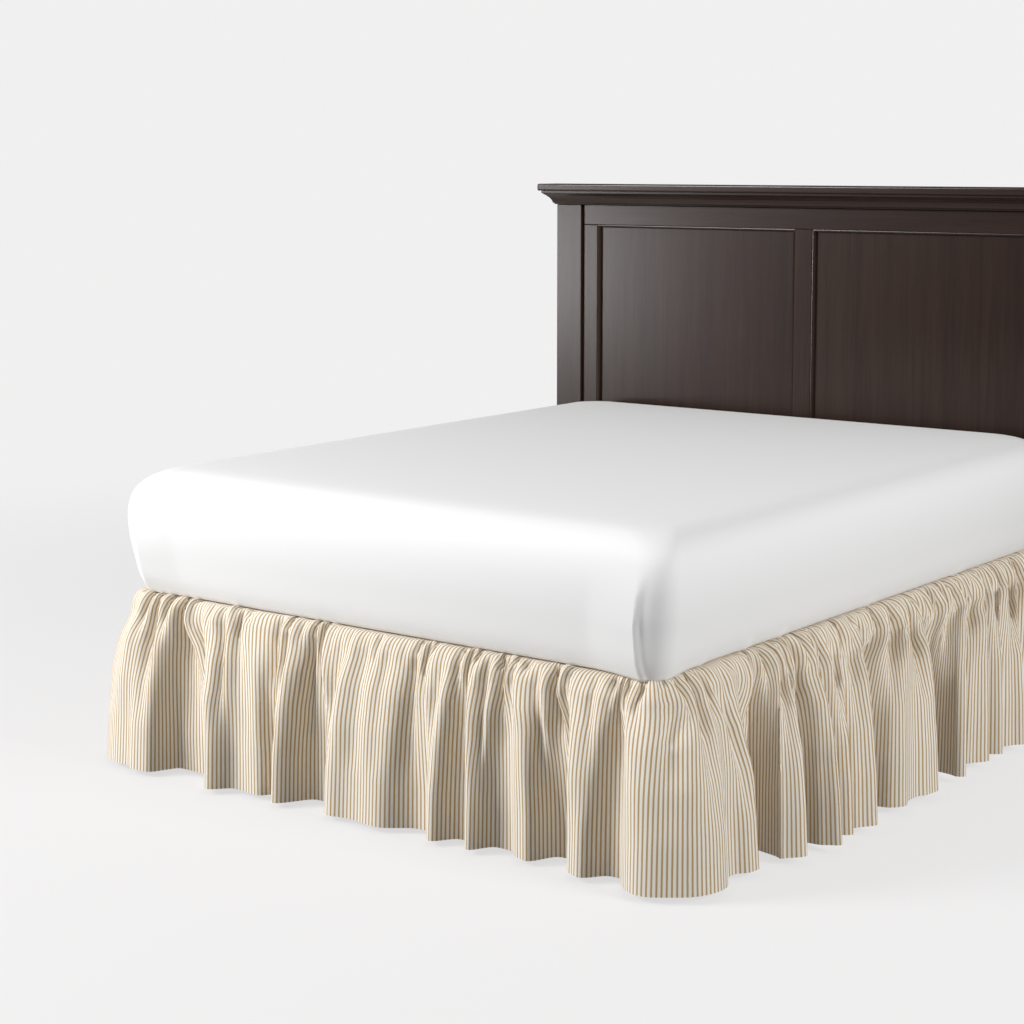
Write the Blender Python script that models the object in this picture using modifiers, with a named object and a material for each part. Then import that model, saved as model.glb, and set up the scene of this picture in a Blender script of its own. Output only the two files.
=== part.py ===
"""A gathered bed skirt on its bed: box spring, mattress, steel bed frame and panelled headboard.

Metres, +Z up. X runs across the bed, and the headboard stands at +Y. The origin is on the floor,
under the middle of the whole thing.
"""

import math

import bmesh
import bpy
from mathutils import Vector

# Driving dimensions
BED_WIDTH = 1.524
BED_LENGTH = 1.905
BOX_SPRING_TOP = 0.4165
BOX_SPRING_HEIGHT = 0.216
HEADBOARD_HEIGHT = 1.398
HEADBOARD_WIDTH = 1.763
HEADBOARD_DEPTH = 0.064
HEM_HEIGHT = 0.011
HEM_RISE = 0.010
SIDE_REACH = 0.215
CLOTH_THICKNESS = 0.002
DECK_THICKNESS = 0.0015
BOX_SPRING_EDGE = 0.014
GAP = 0.0003
SEAM_GAP = 0.0009
DECK_CORNER_RADIUS = 0.045

# Where things stand
FOOT_REACH = 0.118
HEAD_CLEARANCE = 0.006
TOTAL_LENGTH = FOOT_REACH + BED_LENGTH + HEAD_CLEARANCE + HEADBOARD_DEPTH
FOOT_Y = FOOT_REACH - TOTAL_LENGTH / 2
HEAD_Y = FOOT_Y + BED_LENGTH
HEADBOARD_FRONT_Y = HEAD_Y + HEAD_CLEARANCE
HEADBOARD_BACK_Y = HEADBOARD_FRONT_Y + HEADBOARD_DEPTH
HALF_WIDTH = BED_WIDTH / 2

# The outline that the ruffle follows: down the left side, round the foot and up the right side
CORNER_RADIUS = 0.036
RUFFLE_END_GAP = 0.012
CORNER_ARC = CORNER_RADIUS * math.pi / 2
SIDE_RUN = BED_LENGTH - CORNER_RADIUS - RUFFLE_END_GAP
FOOT_RUN = BED_WIDTH - 2 * CORNER_RADIUS
RUFFLE_RUN = 2 * SIDE_RUN + 2 * CORNER_ARC + FOOT_RUN

# The ruffle's folds at the hem. Each row is a crest and the valley that follows it.
# Columns: crest place, crest reach, valley place, valley reach. A reach is the distance outside
# the box spring. A side's places are measured from the foot end, the foot's from the middle.
LEFT_SIDE_FOLDS = (
    (1.740, 0.130, 1.640, 0.080),
    (1.570, 0.165, 1.460, 0.060),
    (1.400, 0.160, 1.310, 0.090),
    (1.240, SIDE_REACH, 1.120, 0.060),
    (1.050, 0.160, 0.970, 0.080),
    (0.900, 0.180, 0.770, 0.050),
    (0.690, 0.155, 0.600, 0.090),
    (0.530, 0.165, 0.420, 0.070),
    (0.350, 0.145, 0.260, 0.050),
    (0.190, 0.110, 0.100, 0.045),
)
FOOT_FOLDS = (
    (-0.752, 0.096, -0.705, 0.064),
    (-0.650, 0.114, -0.540, 0.044),
    (-0.400, 0.110, -0.292, 0.050),
    (-0.212, 0.107, -0.150, 0.036),
    (-0.045, 0.106, 0.022, 0.086),
    (0.110, 0.102, 0.205, 0.050),
    (0.258, 0.100, 0.315, 0.066),
    (0.356, 0.100, 0.408, 0.046),
    (0.478, 0.080, 0.532, 0.030),
    (0.630, FOOT_REACH, 0.704, 0.052),
)
RIGHT_SIDE_FOLDS = (
    (0.012, 0.148, 0.070, 0.105),
    (0.140, 0.146, 0.205, 0.042),
    (0.285, 0.174, 0.335, 0.105),
    (0.395, 0.198, 0.445, 0.130),
    (0.475, 0.166, 0.508, 0.128),
    (0.570, 0.190, 0.640, 0.095),
    (0.755, SIDE_REACH, 0.825, 0.130),
    (0.880, 0.182, 0.945, 0.050),
    (1.015, 0.182, 1.072, 0.110),
    (1.165, 0.172, 1.205, 0.130),
    (1.250, 0.166, 1.298, 0.115),
    (1.370, 0.178, 1.435, 0.072),
    (1.510, 0.160, 1.572, 0.060),
    (1.650, 0.150, 1.705, 0.070),
    (1.780, 0.130, 1.838, 0.055),
)
RUFFLE_END_REACH = 0.085
STEPS_PER_HALF_FOLD = 4

# The ruffle's head, from its seam with the deck over the box spring's edge.
# Columns: distance inside the box spring's outline, height over its top, gather depth.
HEAD_ROWS = (
    (0.0300, GAP + CLOTH_THICKNESS, 0.0000),
    (0.0150, GAP + CLOTH_THICKNESS, 0.0000),
    (-0.0040, 0.0100, 0.0035),
    (-0.0180, -0.0120, 0.0040),
    (-0.0280, -0.0500, 0.0030),
)
# How far down the rest each further row lies, and how much of the hem's folds it has
DROP_ROWS = ((0.16, 0.44), (0.40, 0.74), (0.70, 0.91), (1.00, 1.00))

# The mattress in its fitted sheet, from the underside to the crown.
# Columns: height, distance inside the bed's outline, corner radius.
MATTRESS_ROWS = (
    (0.000, 0.032, 0.040),
    (0.003, 0.018, 0.046),
    (0.016, 0.005, 0.052),
    (0.046, -0.012, 0.058),
    (0.090, -0.025, 0.062),
    (0.145, -0.034, 0.066),
    (0.200, -0.036, 0.066),
    (0.244, -0.028, 0.066),
    (0.272, -0.011, 0.068),
    (0.291, 0.014, 0.074),
    (0.303, 0.054, 0.084),
    (0.308, 0.140, 0.100),
    (0.310, 0.300, 0.110),
    (0.311, 0.600, 0.110),
)
MATTRESS_HEAD_RISE = 0.006
CORNER_STEPS = 8
STRAIGHT_STEPS = 6
MATTRESS_CREASE_ANGLE = 60.0
SLAB_CORNER_SEGMENTS = 6
EDGE_SEGMENTS = 3
EDGE_ANGLE = 50.0

# Headboard
POST_WIDTH = 0.094
STILE_WIDTH = 0.055
CENTRE_STILE_WIDTH = 0.059
CROWN_BOARD_THICKNESS = 0.022
CROWN_BOARD_OVERHANG = 0.046
MOULDING_HEIGHT = 0.042
TOP_RAIL_HEIGHT = 0.062
RAIL_THICKNESS = 0.032
RAIL_SETBACK = 0.010
PANEL_THICKNESS = 0.012
PANEL_SETBACK = 0.022
PANEL_BOTTOM = 0.520
BOTTOM_RAIL_BOTTOM = 0.380
WOOD_BEVEL = 0.002
PANEL_BEVEL = 0.0015
BOARD_BEVEL = 0.005
# Columns: share of the moulding's height, overhang
MOULDING_PROFILE = (
    (0.00, 0.004),
    (0.10, 0.008),
    (0.14, 0.010),
    (0.30, 0.012),
    (0.48, 0.017),
    (0.64, 0.024),
    (0.80, 0.033),
    (0.86, 0.036),
    (1.00, 0.036),
)

# Steel bed frame
ANGLE_LEG = 0.038
ANGLE_THICKNESS = 0.004
FRAME_INSET = 0.030
LEG_RADIUS = 0.019
GLIDE_RADIUS = 0.030
GLIDE_HEIGHT = 0.022
GLIDE_BEVEL = 0.003
GLIDE_TAPER = 0.006
LEG_INSET = 0.090
LEG_STEPS = 16
LEG_ROWS_Y = (0.180, 0.950, 1.720)
BRACKET_HEIGHT = 0.100

ESPRESSO = (0.019, 0.013, 0.012, 1.0)
COTTON_WHITE = (0.86, 0.86, 0.86, 1.0)
TICKING = (0.62, 0.52, 0.37, 1.0)
MUSLIN = (0.74, 0.71, 0.64, 1.0)
STEEL = (0.05, 0.05, 0.055, 1.0)


def clear_scene():
    for thing in list(bpy.data.objects):
        bpy.data.objects.remove(thing)


def make_material(name, colour, roughness, metallic=0.0):
    material = bpy.data.materials.new(name)
    material.use_nodes = True
    shader = material.node_tree.nodes["Principled BSDF"]
    shader.inputs["Base Color"].default_value = colour
    shader.inputs["Roughness"].default_value = roughness
    shader.inputs["Metallic"].default_value = metallic
    material.diffuse_color = colour
    return material


def add_object(name, mesh, material, collection):
    thing = bpy.data.objects.new(name, mesh)
    mesh.materials.append(material)
    collection.objects.link(thing)
    return thing


def mesh_from_bmesh(name, shape):
    bmesh.ops.recalc_face_normals(shape, faces=shape.faces)
    mesh = bpy.data.meshes.new(name)
    shape.to_mesh(mesh)
    shape.free()
    return mesh


def shade_round(thing, degrees):
    thing.data.shade_smooth()
    thing.data.set_sharp_from_angle(angle=math.radians(degrees))


def add_box(name, low, high, material, collection, bevel=0.0, segments=2):
    """A box between two corners, its edges eased by a Bevel modifier."""
    low = Vector(low)
    high = Vector(high)
    shape = bmesh.new()
    bmesh.ops.create_cube(shape, size=1.0)
    size = high - low
    for vert in shape.verts:
        vert.co = Vector(c * s for c, s in zip(vert.co, size))
    thing = add_object(name, mesh_from_bmesh(name, shape), material, collection)
    thing.location = (low + high) / 2
    if bevel:
        easing = thing.modifiers.new("eased edges", "BEVEL")
        easing.width = bevel
        easing.segments = segments
        easing.limit_method = "ANGLE"
    return thing


def add_rounded_slab(name, low, high, radius, material, collection):
    """A flat box whose upright edges are rounded."""
    low = Vector(low)
    high = Vector(high)
    shape = bmesh.new()
    bmesh.ops.create_cube(shape, size=1.0)
    size = high - low
    for vert in shape.verts:
        vert.co = Vector(c * s for c, s in zip(vert.co, size))
    upright = [edge for edge in shape.edges if abs(edge.verts[0].co.x - edge.verts[1].co.x) < radius]
    upright = [edge for edge in upright if abs(edge.verts[0].co.y - edge.verts[1].co.y) < radius]
    bmesh.ops.bevel(
        shape, geom=upright, offset=radius, segments=SLAB_CORNER_SEGMENTS, profile=0.5, affect="EDGES"
    )
    thing = add_object(name, mesh_from_bmesh(name, shape), material, collection)
    thing.location = (low + high) / 2
    return thing


# The ruffle


def outline_point(run, reach):
    """A point outside the box spring's outline, with run measured from the left side's head end."""
    arc_y = FOOT_Y + CORNER_RADIUS
    arc_x = HALF_WIDTH - CORNER_RADIUS
    if run <= SIDE_RUN:
        return Vector((-HALF_WIDTH - reach, HEAD_Y - RUFFLE_END_GAP - run))
    if run >= RUFFLE_RUN - SIDE_RUN:
        return Vector((HALF_WIDTH + reach, arc_y + run - (RUFFLE_RUN - SIDE_RUN)))
    foot_start = SIDE_RUN + CORNER_ARC
    if foot_start <= run <= foot_start + FOOT_RUN:
        return Vector((run - foot_start - arc_x, FOOT_Y - reach))
    on_left = run < foot_start
    along = run - SIDE_RUN if on_left else run - foot_start - FOOT_RUN
    turn = along / CORNER_RADIUS
    radius = CORNER_RADIUS + reach
    if on_left:
        return Vector((-arc_x - radius * math.cos(turn), arc_y - radius * math.sin(turn)))
    return Vector((arc_x + radius * math.sin(turn), arc_y - radius * math.cos(turn)))


def fold_stops():
    """The hem's crests and valleys in order, as (run, reach)."""
    stops = [(0.0, RUFFLE_END_REACH)]
    for crest, crest_reach, valley, valley_reach in LEFT_SIDE_FOLDS:
        for place, reach in ((crest, crest_reach), (valley, valley_reach)):
            stops.append((SIDE_RUN + CORNER_RADIUS - place, reach))
    foot_middle = RUFFLE_RUN / 2
    for crest, crest_reach, valley, valley_reach in FOOT_FOLDS:
        stops.append((foot_middle + crest, crest_reach))
        stops.append((foot_middle + valley, valley_reach))
    right_start = RUFFLE_RUN - SIDE_RUN - CORNER_RADIUS
    for crest, crest_reach, valley, valley_reach in RIGHT_SIDE_FOLDS:
        stops.append((right_start + crest, crest_reach))
        stops.append((right_start + valley, valley_reach))
    stops.append((RUFFLE_RUN, RUFFLE_END_REACH))
    return stops


def hem_columns():
    """The hem sampled from crest to valley to crest, as (run, reach)."""
    stops = fold_stops()
    columns = []
    for (run_a, reach_a), (run_b, reach_b) in zip(stops, stops[1:]):
        for step in range(STEPS_PER_HALF_FOLD):
            share = step / STEPS_PER_HALF_FOLD
            eased = (1 - math.cos(math.pi * share)) / 2
            columns.append((run_a + (run_b - run_a) * share, reach_a + (reach_b - reach_a) * eased))
    columns.append(stops[-1])
    return columns


def head_places(columns):
    """Where each column is gathered at the head. Each side keeps to its own side of the corners,
    and shares its run out by the length of cloth in its folds."""
    points = [outline_point(run, reach) for run, reach in columns]
    lengths = [0.0]
    for a, b in zip(points, points[1:]):
        lengths.append(lengths[-1] + (b - a).length)
    anchors = (0.0, SIDE_RUN + CORNER_ARC / 2, RUFFLE_RUN - SIDE_RUN - CORNER_ARC / 2, RUFFLE_RUN)
    marks = []
    for anchor in anchors:
        nearest = min(range(len(columns)), key=lambda index: abs(columns[index][0] - anchor))
        marks.append(nearest)
    places = []
    for index, length in enumerate(lengths):
        stretch = max(k for k in range(len(marks) - 1) if marks[k] <= index)
        first, last = marks[stretch], marks[stretch + 1]
        share = (length - lengths[first]) / (lengths[last] - lengths[first])
        places.append(anchors[stretch] + (anchors[stretch + 1] - anchors[stretch]) * share)
    return places


def ruffle_column(run, reach, head_run, side):
    """One column of points from the seam to the hem. side is 1 or -1, and sets the gathers."""
    points = []
    for inset, height, gather in HEAD_ROWS:
        spot = outline_point(head_run, -inset + side * gather)
        points.append(Vector((spot.x, spot.y, BOX_SPRING_TOP + height + side * gather / 2)))
    shoulder = points[-1]
    level = outline_point(head_run, -HEAD_ROWS[-1][0])
    hem = outline_point(run, reach)
    hem_height = HEM_HEIGHT + HEM_RISE * (reach / SIDE_REACH) ** 2
    for down, spread in DROP_ROWS:
        spot = level.lerp(hem, spread)
        height = shoulder.z + (hem_height - shoulder.z) * down
        points.append(Vector((spot.x, spot.y, height)))
    return points


def add_ruffle(material, collection):
    columns = hem_columns()
    places = head_places(columns)
    shape = bmesh.new()
    grid = []
    for index, ((run, reach), head_run) in enumerate(zip(columns, places)):
        side = 1 if index % 2 else -1
        grid.append([shape.verts.new(p) for p in ruffle_column(run, reach, head_run, side)])
    for left, right in zip(grid, grid[1:]):
        for row in range(len(left) - 1):
            shape.faces.new((left[row], left[row + 1], right[row + 1], right[row]))
    mesh = bpy.data.meshes.new("skirt_ruffle")
    shape.to_mesh(mesh)
    shape.free()
    thing = add_object("skirt_ruffle", mesh, material, collection)
    cloth = thing.modifiers.new("cloth", "SOLIDIFY")
    cloth.thickness = CLOTH_THICKNESS
    cloth.offset = -1.0
    return thing


def add_deck(material, collection):
    """The flat sheet that the ruffle is sewn to."""
    inset = HEAD_ROWS[0][0] + SEAM_GAP
    low = (-HALF_WIDTH + inset, FOOT_Y + inset, BOX_SPRING_TOP + GAP)
    high = (HALF_WIDTH - inset, HEAD_Y - RUFFLE_END_GAP, BOX_SPRING_TOP + GAP + DECK_THICKNESS)
    return add_rounded_slab("skirt_deck", low, high, DECK_CORNER_RADIUS, material, collection)


# Mattress and box spring


def rounded_ring(inset, radius, height):
    """Points round the bed's outline, drawn in by inset, with rounded corners."""
    half_x = HALF_WIDTH - inset
    foot = FOOT_Y + inset
    head = HEAD_Y - max(inset, 0.0)
    corners = (
        (half_x - radius, foot + radius, -90.0),
        (half_x - radius, head - radius, 0.0),
        (-half_x + radius, head - radius, 90.0),
        (-half_x + radius, foot + radius, 180.0),
    )
    points = []
    for index, (x, y, start) in enumerate(corners):
        arc = []
        for step in range(CORNER_STEPS + 1):
            turn = math.radians(start + 90.0 * step / CORNER_STEPS)
            arc.append(Vector((x + radius * math.cos(turn), y + radius * math.sin(turn), height)))
        points.extend(arc)
        next_x, next_y, next_start = corners[(index + 1) % len(corners)]
        turn = math.radians(next_start)
        target = Vector((next_x + radius * math.cos(turn), next_y + radius * math.sin(turn), height))
        for step in range(1, STRAIGHT_STEPS):
            points.append(arc[-1].lerp(target, step / STRAIGHT_STEPS))
    return points


def add_mattress(material, collection):
    """Rings from the underside to the crown, drawn in at the foot and rounded at the top."""
    shape = bmesh.new()
    base = BOX_SPRING_TOP + 2 * GAP + CLOTH_THICKNESS
    rings = []
    for height, inset, radius in MATTRESS_ROWS:
        ring = []
        for point in rounded_ring(inset, radius, base + height):
            along = (point.y - FOOT_Y) / BED_LENGTH
            point.z += MATTRESS_HEAD_RISE * along * height / MATTRESS_ROWS[-1][0]
            ring.append(shape.verts.new(point))
        rings.append(ring)
    for lower, upper in zip(rings, rings[1:]):
        for index in range(len(lower)):
            after = (index + 1) % len(lower)
            shape.faces.new((lower[index], lower[after], upper[after], upper[index]))
    shape.faces.new(list(reversed(rings[0])))
    shape.faces.new(rings[-1])
    thing = add_object("mattress", mesh_from_bmesh("mattress", shape), material, collection)
    shade_round(thing, MATTRESS_CREASE_ANGLE)
    return thing


def add_box_spring(material, collection):
    low = (-HALF_WIDTH, FOOT_Y, BOX_SPRING_TOP - BOX_SPRING_HEIGHT)
    high = (HALF_WIDTH, HEAD_Y, BOX_SPRING_TOP)
    thing = add_rounded_slab("box_spring", low, high, CORNER_RADIUS, material, collection)
    easing = thing.modifiers.new("eased edges", "BEVEL")
    easing.width = BOX_SPRING_EDGE
    easing.segments = EDGE_SEGMENTS
    easing.limit_method = "ANGLE"
    easing.angle_limit = math.radians(EDGE_ANGLE)
    return thing


# Headboard


def add_moulding(name, bottom, top, profile, material, collection):
    """Rectangles that grow with the profile, mitred at the front corners and flush at the back."""
    shape = bmesh.new()
    rings = []
    for share, overhang in profile:
        z = bottom + (top - bottom) * share
        x = HEADBOARD_WIDTH / 2 + overhang
        front = HEADBOARD_FRONT_Y - overhang
        corners = ((-x, front), (x, front), (x, HEADBOARD_BACK_Y), (-x, HEADBOARD_BACK_Y))
        rings.append([shape.verts.new((cx, cy, z)) for cx, cy in corners])
    for lower, upper in zip(rings, rings[1:]):
        for index in range(4):
            after = (index + 1) % 4
            shape.faces.new((lower[index], lower[after], upper[after], upper[index]))
    shape.faces.new(list(reversed(rings[0])))
    shape.faces.new(rings[-1])
    return add_object(name, mesh_from_bmesh(name, shape), material, collection)


def add_panel(name, left, right, bottom, top, material, collection):
    """A flat board set back behind the faces of the rails and stiles."""
    front = HEADBOARD_FRONT_Y + PANEL_SETBACK
    low = (left, front, bottom)
    high = (right, front + PANEL_THICKNESS, top)
    return add_box(name, low, high, material, collection, PANEL_BEVEL, 1)


def add_headboard(material, collection):
    outer = HEADBOARD_WIDTH / 2
    crown_bottom = HEADBOARD_HEIGHT - CROWN_BOARD_THICKNESS
    moulding_bottom = crown_bottom - GAP - MOULDING_HEIGHT
    frame_top = moulding_bottom - GAP
    post_inner = outer - POST_WIDTH
    stile_inner = post_inner - GAP - STILE_WIDTH
    rail_front = HEADBOARD_FRONT_Y + RAIL_SETBACK
    rail_back = rail_front + RAIL_THICKNESS
    rail_bottom = frame_top - TOP_RAIL_HEIGHT
    for side, name in ((-1, "left_post"), (1, "right_post")):
        xs = sorted((side * outer, side * post_inner))
        low = (xs[0], HEADBOARD_FRONT_Y, 0.0)
        high = (xs[1], HEADBOARD_BACK_Y, frame_top)
        add_box(name, low, high, material, collection, WOOD_BEVEL)
    rail_half = post_inner - GAP
    add_box(
        "top_rail",
        (-rail_half, rail_front, rail_bottom),
        (rail_half, rail_back, frame_top),
        material,
        collection,
        WOOD_BEVEL,
    )
    add_box(
        "bottom_rail",
        (-rail_half, rail_front, BOTTOM_RAIL_BOTTOM),
        (rail_half, rail_back, PANEL_BOTTOM),
        material,
        collection,
        WOOD_BEVEL,
    )
    low_z = PANEL_BOTTOM + GAP
    high_z = rail_bottom - GAP
    for side, name in ((-1, "left_stile"), (1, "right_stile")):
        xs = sorted((side * (post_inner - GAP), side * stile_inner))
        low = (xs[0], rail_front, low_z)
        high = (xs[1], rail_back, high_z)
        add_box(name, low, high, material, collection, WOOD_BEVEL)
    half_centre = CENTRE_STILE_WIDTH / 2
    add_box(
        "centre_stile",
        (-half_centre, rail_front, low_z),
        (half_centre, rail_back, high_z),
        material,
        collection,
        WOOD_BEVEL,
    )
    for side, name in ((-1, "left_panel"), (1, "right_panel")):
        xs = sorted((side * (stile_inner - GAP), side * (half_centre + GAP)))
        add_panel(name, xs[0], xs[1], low_z, high_z, material, collection)
    add_moulding(
        "crown_moulding", moulding_bottom, crown_bottom - GAP, MOULDING_PROFILE, material, collection
    )
    low = (-outer - CROWN_BOARD_OVERHANG, HEADBOARD_FRONT_Y - CROWN_BOARD_OVERHANG, crown_bottom)
    high = (outer + CROWN_BOARD_OVERHANG, HEADBOARD_BACK_Y, HEADBOARD_HEIGHT)
    add_box("crown_board", low, high, material, collection, BOARD_BEVEL, EDGE_SEGMENTS)


# Steel bed frame


def add_angle_iron(name, start, end, inward, material, collection):
    """An angle iron from start to end at the height of its flat leg's top. inward points in."""
    start = Vector(start)
    end = Vector(end)
    inward = Vector(inward)
    down = Vector((0.0, 0.0, -1.0))
    section = (
        (0.0, 0.0),
        (ANGLE_LEG, 0.0),
        (ANGLE_LEG, ANGLE_THICKNESS),
        (ANGLE_THICKNESS, ANGLE_THICKNESS),
        (ANGLE_THICKNESS, ANGLE_LEG),
        (0.0, ANGLE_LEG),
    )
    shape = bmesh.new()
    ends = []
    for point in (start, end):
        ends.append([shape.verts.new(point + inward * across + down * below) for across, below in section])
    for index in range(len(section)):
        after = (index + 1) % len(section)
        shape.faces.new((ends[0][index], ends[0][after], ends[1][after], ends[1][index]))
    shape.faces.new(list(reversed(ends[0])))
    shape.faces.new(ends[1])
    return add_object(name, mesh_from_bmesh(name, shape), material, collection)


def add_leg(name, x, y, top, material, collection):
    """A round leg with a wider glide at its foot, as one turned piece."""
    shape = bmesh.new()
    profile = (
        (0.0, top),
        (LEG_RADIUS, top),
        (LEG_RADIUS, GLIDE_HEIGHT + GLIDE_TAPER),
        (GLIDE_RADIUS, GLIDE_HEIGHT),
        (GLIDE_RADIUS, GLIDE_BEVEL),
        (GLIDE_RADIUS - GLIDE_BEVEL, 0.0),
        (0.0, 0.0),
    )
    verts = [shape.verts.new((radius, 0.0, z)) for radius, z in profile]
    for a, b in zip(verts, verts[1:]):
        shape.edges.new((a, b))
    mesh = bpy.data.meshes.new(name)
    shape.to_mesh(mesh)
    shape.free()
    thing = add_object(name, mesh, material, collection)
    thing.location = (x, y, 0.0)
    turning = thing.modifiers.new("turning", "SCREW")
    turning.steps = LEG_STEPS
    turning.render_steps = LEG_STEPS
    turning.use_merge_vertices = True
    turning.merge_threshold = 0.0001
    return thing


def add_bed_frame(material, collection):
    rail_top = BOX_SPRING_TOP - BOX_SPRING_HEIGHT - GAP
    side_x = HALF_WIDTH - FRAME_INSET
    foot_y = FOOT_Y + FRAME_INSET
    rail_end_y = HEADBOARD_FRONT_Y - GAP - ANGLE_THICKNESS - GAP
    for side, name in ((-1, "left_side_rail"), (1, "right_side_rail")):
        start = (side * side_x, foot_y, rail_top)
        end = (side * side_x, rail_end_y, rail_top)
        add_angle_iron(name, start, end, (-side, 0.0, 0.0), material, collection)
    for side, name in ((-1, "left_bracket"), (1, "right_bracket")):
        xs = sorted((side * (side_x - ANGLE_LEG), side * (HEADBOARD_WIDTH / 2 - POST_WIDTH / 2)))
        low = (xs[0], rail_end_y + GAP, rail_top - BRACKET_HEIGHT)
        high = (xs[1], HEADBOARD_FRONT_Y - GAP, rail_top)
        add_box(name, low, high, material, collection)
    cross_top = rail_top - ANGLE_THICKNESS - GAP
    cross_half = side_x - ANGLE_THICKNESS - GAP
    names = ("foot_cross_rail", "middle_cross_rail", "head_cross_rail")
    for name, y in zip(names, LEG_ROWS_Y):
        start = (-cross_half, FOOT_Y + y, cross_top)
        end = (cross_half, FOOT_Y + y, cross_top)
        add_angle_iron(name, start, end, (0.0, 1.0, 0.0), material, collection)
        leg_top = cross_top - ANGLE_THICKNESS - GAP
        leg_y = FOOT_Y + y + ANGLE_THICKNESS + GAP + LEG_RADIUS
        place = name.split("_")[0]
        outer_x = cross_half - LEG_INSET
        for x, side in ((-outer_x, "left"), (0.0, "centre"), (outer_x, "right")):
            add_leg(f"{place}_leg_{side}", x, leg_y, leg_top, material, collection)


def build():
    clear_scene()
    collection = bpy.data.collections.new("bed_skirt_on_bed")
    bpy.context.scene.collection.children.link(collection)
    ticking = make_material("cotton ticking", TICKING, 0.85)
    muslin = make_material("muslin", MUSLIN, 0.9)
    sheet = make_material("white cotton sheet", COTTON_WHITE, 0.8)
    cover = make_material("box spring cover", MUSLIN, 0.9)
    wood = make_material("espresso lacquered wood", ESPRESSO, 0.35)
    steel = make_material("painted steel", STEEL, 0.5)
    add_ruffle(ticking, collection)
    add_deck(muslin, collection)
    add_mattress(sheet, collection)
    add_box_spring(cover, collection)
    add_headboard(wood, collection)
    add_bed_frame(steel, collection)


build()
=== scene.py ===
"""Looks of the gathered bed skirt on its bed: ticking ruffle, sheeted mattress, wood headboard."""
import math

import bmesh
import bpy
import numpy as np
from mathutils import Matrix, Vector


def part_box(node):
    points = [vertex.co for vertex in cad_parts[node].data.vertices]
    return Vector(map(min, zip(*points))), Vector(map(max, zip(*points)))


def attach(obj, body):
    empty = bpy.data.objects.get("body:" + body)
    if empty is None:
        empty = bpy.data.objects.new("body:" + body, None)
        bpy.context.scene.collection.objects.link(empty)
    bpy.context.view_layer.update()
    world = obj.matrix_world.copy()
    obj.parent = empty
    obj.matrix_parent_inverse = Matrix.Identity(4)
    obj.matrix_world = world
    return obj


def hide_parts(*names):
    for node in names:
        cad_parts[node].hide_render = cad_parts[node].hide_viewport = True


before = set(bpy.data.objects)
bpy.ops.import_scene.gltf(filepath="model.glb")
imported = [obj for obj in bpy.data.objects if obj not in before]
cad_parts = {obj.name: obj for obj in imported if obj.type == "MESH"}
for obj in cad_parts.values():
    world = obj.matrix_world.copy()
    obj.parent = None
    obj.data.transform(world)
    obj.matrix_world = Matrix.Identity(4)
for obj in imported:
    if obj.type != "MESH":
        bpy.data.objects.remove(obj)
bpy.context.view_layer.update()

# Sizes read from the frame, in metres
SPRING_LOW, SPRING_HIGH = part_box("box_spring")
HALF_WIDTH = SPRING_HIGH[0]
FOOT_Y = SPRING_LOW[1]
HEAD_Y = SPRING_HIGH[1]
SPRING_TOP = SPRING_HIGH[2]
BED_LENGTH = HEAD_Y - FOOT_Y
MATTRESS_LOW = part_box("mattress")[0]

# The camera: where it stands, how far it is turned and tipped in degrees, lens in mm
CAMERA_PLACE = (3.050, -4.435, 1.470)
CAMERA_YAW = 37.19
CAMERA_PITCH = 6.74
CAMERA_LENS = 74.04
CAMERA_SHIFT_Y = -0.10

# The ruffle, which runs from the head end of the left side round the foot to that of the right
CORNER_RADIUS = 0.036
RUFFLE_END_GAP = 0.012
CORNER_ARC = CORNER_RADIUS * math.pi / 2
SIDE_RUN = BED_LENGTH - CORNER_RADIUS - RUFFLE_END_GAP
FOOT_RUN = 2 * (HALF_WIDTH - CORNER_RADIUS)
RUFFLE_RUN = 2 * SIDE_RUN + 2 * CORNER_ARC + FOOT_RUN
SIDE_REACH = 0.215
HEM_HEIGHT = 0.011
HEM_RISE = 0.010
RUFFLE_END_REACH = 0.085
HEM_SAMPLES = 24

# The ruffle's folds at the hem. Each row is a crest and the valley that follows it.
# Columns: place and reach where the crest's face begins, its fullest place and reach, places where
# the valley's bottom begins and ends, its reach, place where it is pinched at the head. A reach is
# the distance outside the box spring. A side's places are measured from the foot end, the foot's
# from the middle. A crest may lean back over the valley before it.
LEFT_SIDE_FOLDS = (
    (1.765, 0.122, 1.740, 0.130, 1.660, 1.620, 0.080, 1.670),
    (1.595, 0.155, 1.570, 0.165, 1.490, 1.430, 0.060, 1.490),
    (1.425, 0.150, 1.400, 0.160, 1.330, 1.290, 0.090, 1.330),
    (1.260, 0.180, 1.230, SIDE_REACH, 1.150, 1.090, 0.060, 1.150),
    (1.070, 0.150, 1.050, 0.160, 0.990, 0.950, 0.080, 0.990),
    (0.930, 0.170, 0.900, 0.180, 0.800, 0.740, 0.050, 0.790),
    (0.715, 0.145, 0.690, 0.155, 0.620, 0.580, 0.090, 0.610),
    (0.555, 0.155, 0.530, 0.165, 0.450, 0.400, 0.070, 0.430),
    (0.375, 0.135, 0.350, 0.145, 0.280, 0.240, 0.050, 0.270),
    (0.205, 0.102, 0.190, 0.110, 0.120, 0.080, 0.045, 0.120),
)
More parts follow.
